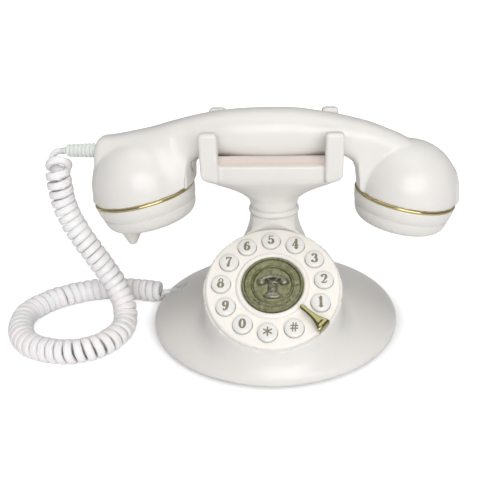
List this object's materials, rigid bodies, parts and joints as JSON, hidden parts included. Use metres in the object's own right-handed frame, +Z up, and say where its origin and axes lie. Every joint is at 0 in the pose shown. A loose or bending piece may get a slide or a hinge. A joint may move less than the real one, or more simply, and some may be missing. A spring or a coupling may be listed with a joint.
{
  "type": "rotary telephone",
  "caption": "retro desk telephone: round glossy base, sloping dial disc of push buttons, slim neck, four-prong cradle, lift-off handset with round cups and a curly cord",
  "frame": {"origin": "on the table under the neck's axis, within 1.5 mm of the middle of the object's box; the middle of the round base lies 3 mm in front of it", "axes": "+X along the handset towards the earpiece, +Y to the back, away from the dial, +Z up"},
  "size_m": [0.291, 0.168, 0.1425],
  "materials": {
    "ivory_plastic": "glossy",
    "key_plastic": "glossy",
    "gold_metal": "polished",
    "bronze_metal": "antique satin",
    "steel": "satin",
    "cast_weight": "rough",
    "black_plastic": "matte",
    "board": "satin",
    "grey_rubber": "matte",
    "clear_plastic": "glossy",
    "cord_sheath": "satin"
  },
  "bodies": {
    "base": {"base_shell": "ivory_plastic", "base_plate": "ivory_plastic", "neck_column": "ivory_plastic", "neck_collar": "ivory_plastic", "cradle_front": "ivory_plastic", "cradle_rear": "ivory_plastic", "saddle_plate": "ivory_plastic", "dial_housing": "ivory_plastic", "dial_plate": "ivory_plastic", "medallion_ring": "ivory_plastic", "finger_stop": "gold_metal", "medallion": "bronze_metal", "base_screws": "steel", "neck_tube": "steel", "tube_nuts": "steel", "cradle_screws": "steel", "hook_spring": "steel", "dial_screws": "steel", "ringer_switch": "steel", "ballast_weight": "cast_weight", "ringer": "black_plastic", "line_jack": "black_plastic", "handset_jack": "black_plastic", "hook_switch": "black_plastic", "main_circuit_board": "board", "keypad_board": "board", "keypad_ribbon": "board", "rubber_feet": "grey_rubber", "keypad_mat": "grey_rubber", "cord_plug": "clear_plastic", "curly_cord": "cord_sheath", "cord_tail": "cord_sheath"},
    "handset": {"handset_upper_shell": "ivory_plastic", "handset_lower_shell": "ivory_plastic", "earpiece_cap": "ivory_plastic", "mouthpiece_cap": "ivory_plastic", "earpiece_ring": "gold_metal", "mouthpiece_ring": "gold_metal", "receiver_capsule": "steel", "receiver_gasket": "grey_rubber", "microphone_capsule": "steel", "microphone_holder": "grey_rubber", "handset_weight": "cast_weight", "handset_screws": "steel", "cord_strain_relief": "cord_sheath"},
    "hook": {"hook_plungers": "ivory_plastic"},
    "volume_slider": {"ringer_slider": "black_plastic"},
    "key_1": {"button_1": "key_plastic"},
    "key_2": {"button_2": "key_plastic"},
    "key_3": {"button_3": "key_plastic"},
    "key_4": {"button_4": "key_plastic"},
    "key_5": {"button_5": "key_plastic"},
    "key_6": {"button_6": "key_plastic"},
    "key_7": {"button_7": "key_plastic"},
    "key_8": {"button_8": "key_plastic"},
    "key_9": {"button_9": "key_plastic"},
    "key_0": {"button_0": "key_plastic"},
    "key_star": {"button_star": "key_plastic"},
    "key_hash": {"button_hash": "key_plastic"}
  },
  "joints": [
    {"name": "handset_lift", "type": "slide", "parent": "base", "child": "handset", "axis": [0, 0, 1], "range_m": [0, 0.06]},
    {"name": "hook_rise", "type": "slide", "parent": "base", "child": "hook", "axis": [0, 0, 1], "range_m": [0, 0.0035]},
    {"name": "volume_slide", "type": "slide", "parent": "base", "child": "volume_slider", "axis": [1, 0, 0], "range_m": [0, 0.005]},
    {"name": "press_1", "type": "slide", "parent": "base", "child": "key_1", "axis": [0, 0.5519, -0.8339], "range_m": [0, 0.0014], "stiffness_N_per_m": 220, "springref_m": -0.0006},
    {"name": "press_2", "type": "slide", "parent": "base", "child": "key_2", "axis": [0, 0.5519, -0.8339], "range_m": [0, 0.0014], "stiffness_N_per_m": 220, "springref_m": -0.0006},
    {"name": "press_3", "type": "slide", "parent": "base", "child": "key_3", "axis": [0, 0.5519, -0.8339], "range_m": [0, 0.0014], "stiffness_N_per_m": 220, "springref_m": -0.0006},
    {"name": "press_4", "type": "slide", "parent": "base", "child": "key_4", "axis": [0, 0.5519, -0.8339], "range_m": [0, 0.0014], "stiffness_N_per_m": 220, "springref_m": -0.0006},
    {"name": "press_5", "type": "slide", "parent": "base", "child": "key_5", "axis": [0, 0.5519, -0.8339], "range_m": [0, 0.0014], "stiffness_N_per_m": 220, "springref_m": -0.0006},
    {"name": "press_6", "type": "slide", "parent": "base", "child": "key_6", "axis": [0, 0.5519, -0.8339], "range_m": [0, 0.0014], "stiffness_N_per_m": 220, "springref_m": -0.0006},
    {"name": "press_7", "type": "slide", "parent": "base", "child": "key_7", "axis": [0, 0.5519, -0.8339], "range_m": [0, 0.0014], "stiffness_N_per_m": 220, "springref_m": -0.0006},
    {"name": "press_8", "type": "slide", "parent": "base", "child": "key_8", "axis": [0, 0.5519, -0.8339], "range_m": [0, 0.0014], "stiffness_N_per_m": 220, "springref_m": -0.0006},
    {"name": "press_9", "type": "slide", "parent": "base", "child": "key_9", "axis": [0, 0.5519, -0.8339], "range_m": [0, 0.0014], "stiffness_N_per_m": 220, "springref_m": -0.0006},
    {"name": "press_0", "type": "slide", "parent": "base", "child": "key_0", "axis": [0, 0.5519, -0.8339], "range_m": [0, 0.0014], "stiffness_N_per_m": 220, "springref_m": -0.0006},
    {"name": "press_star", "type": "slide", "parent": "base", "child": "key_star", "axis": [0, 0.5519, -0.8339], "range_m": [0, 0.0014], "stiffness_N_per_m": 220, "springref_m": -0.0006},
    {"name": "press_hash", "type": "slide", "parent": "base", "child": "key_hash", "axis": [0, 0.5519, -0.8339], "range_m": [0, 0.0014], "stiffness_N_per_m": 220, "springref_m": -0.0006}
  ],
  "couplings": [
    {"joint": "hook_rise", "follows": "handset_lift", "ratio": 0.058}
  ]
}
